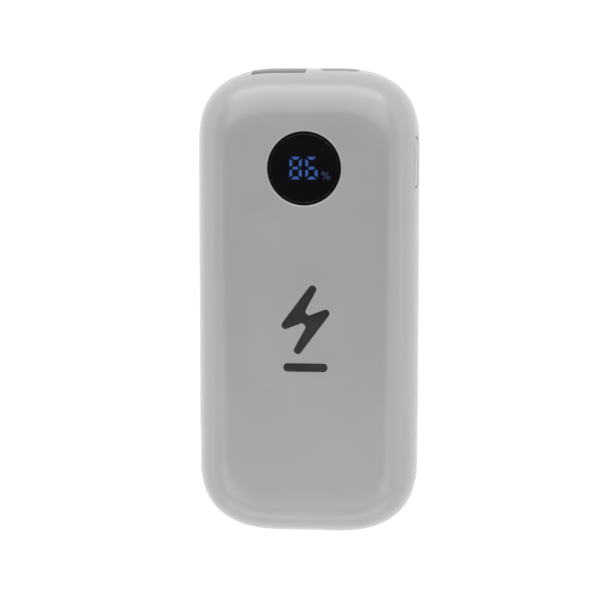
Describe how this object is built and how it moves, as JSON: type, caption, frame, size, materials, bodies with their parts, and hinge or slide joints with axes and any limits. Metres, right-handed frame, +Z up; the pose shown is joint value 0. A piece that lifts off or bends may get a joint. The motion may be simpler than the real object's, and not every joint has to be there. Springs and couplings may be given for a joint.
{
  "type": "power bank",
  "caption": "Pocket-sized power bank with rolled edges, a round smoked charge display near one end, a slim side button, and a large rectangular and a small oval socket in the end face.",
  "frame": {"origin": "middle of the flat back face, on the surface that the power bank lies on", "axes": "+X to the right across the width, towards the side button; +Y along the length, towards the end with the sockets; +Z up through the display face"},
  "size_m": [0.055, 0.1164, 0.027],
  "materials": {
    "casing": "polished moulded plastic, neutral pale grey",
    "window": "smoked acrylic, polished, nearly black when unlit",
    "black_foam": "closed-cell foam, matt",
    "black_plastic": "moulded, satin",
    "red_insulation": "soft wire insulation",
    "display_light": "lit blue diffuser bars",
    "display_light_dim": "dimly lit diffuser",
    "contact_metal": "gold-plated",
    "sheet_metal": "nickel-plated sheet steel",
    "solder": "bright solder",
    "circuit_board": "green solder mask on glass fibre",
    "ferrite": "sintered, matt",
    "copper_wire": "enamelled copper wire",
    "capacitor_body": "ceramic, satin",
    "white_insulator": "fibre board",
    "cell_sleeve": "heat-shrunk film"
  },
  "bodies": {
    "casing": {"front_shell": "casing", "back_shell": "casing", "display_lens": "window", "lens_adhesive": "black_foam", "display_gasket": "black_foam", "display_block": "black_plastic", "digit_segments": "display_light", "percent_symbol": "display_light_dim", "display_pins": "contact_metal", "switch_body": "black_plastic", "switch_bracket": "sheet_metal", "usb_a_shell": "sheet_metal", "usb_a_tongue": "black_plastic", "usb_a_contacts": "contact_metal", "usb_c_shell": "sheet_metal", "usb_c_tongue": "black_plastic", "usb_c_contacts": "contact_metal", "main_board": "circuit_board", "board_screws": "sheet_metal", "solder_joints": "solder", "inductor_core": "ferrite", "inductor_winding": "copper_wire", "charge_controller": "black_plastic", "mosfets": "black_plastic", "chip_capacitors": "capacitor_body", "chip_resistors": "black_plastic", "left_cell_can": "sheet_metal", "left_cell_cap": "sheet_metal", "left_cell_insulator": "white_insulator", "left_cell_sleeve": "cell_sleeve", "right_cell_can": "sheet_metal", "right_cell_cap": "sheet_metal", "right_cell_insulator": "white_insulator", "right_cell_sleeve": "cell_sleeve", "positive_strip": "sheet_metal", "negative_strip": "sheet_metal", "positive_lead": "red_insulation", "negative_lead": "black_plastic", "thermistor": "black_plastic", "front_foam_pad": "black_foam", "back_foam_pad": "black_foam"},
    "button": {"power_button": "casing"},
    "plunger": {"switch_plunger": "black_plastic"}
  },
  "joints": [
    {"name": "power_button_press", "type": "slide", "parent": "casing", "child": "button", "axis": [-1, 0, 0], "range_m": [0, 0.0003], "stiffness_N_per_m": 4000},
    {"name": "switch_plunger_press", "type": "slide", "parent": "casing", "child": "plunger", "axis": [-1, 0, 0], "range_m": [0, 0.0003]}
  ],
  "couplings": [
    {"joint": "switch_plunger_press", "follows": "power_button_press", "ratio": 1}
  ]
}
